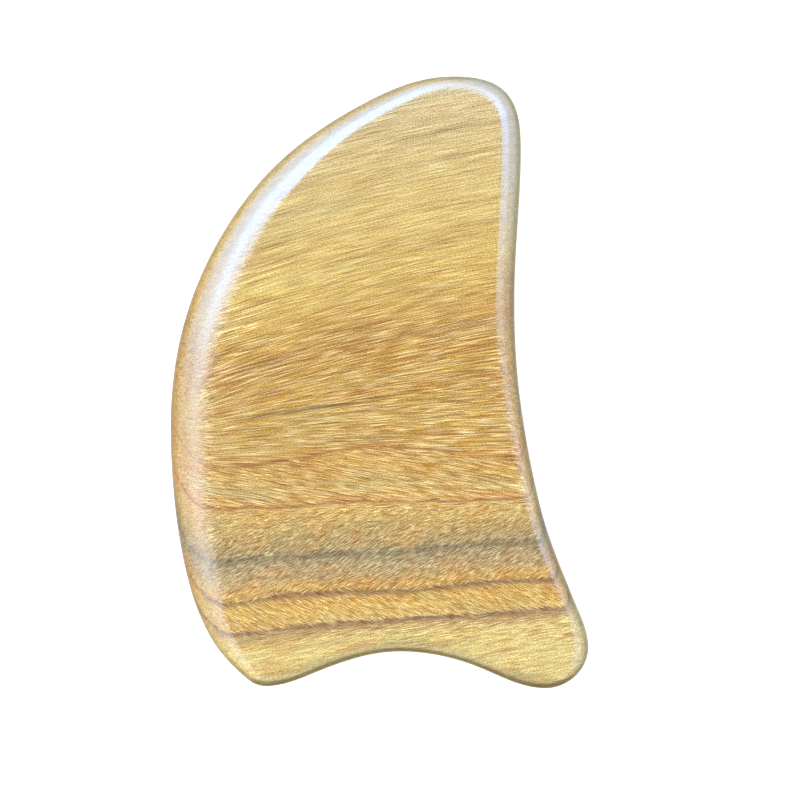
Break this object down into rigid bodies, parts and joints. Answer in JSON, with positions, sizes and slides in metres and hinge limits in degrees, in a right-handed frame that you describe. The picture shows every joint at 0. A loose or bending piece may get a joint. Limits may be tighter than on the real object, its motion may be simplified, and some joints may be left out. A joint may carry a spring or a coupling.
{
  "type": "gua sha scraper",
  "caption": "Carved wooden gua sha scraper, a flat wing-shaped board with rounded edges, a shallow notch between two lobes and one hollow side, for scraping and massaging skin.",
  "frame": {"origin": "under the middle of the board's box, on the plane that its back face lies on", "axes": "+X towards the hollow side, +Y from the two lobes towards the tip, +Z through the thickness from the back face to the front face"},
  "size_m": [0.096, 0.14, 0.015],
  "materials": {
    "polished_wood": "golden brown hardwood with fine wavy grain and olive-grey bands, sanded and polished to a soft gloss"
  },
  "bodies": {
    "root": {"scraper_board": "polished_wood"}
  },
  "joints": []
}
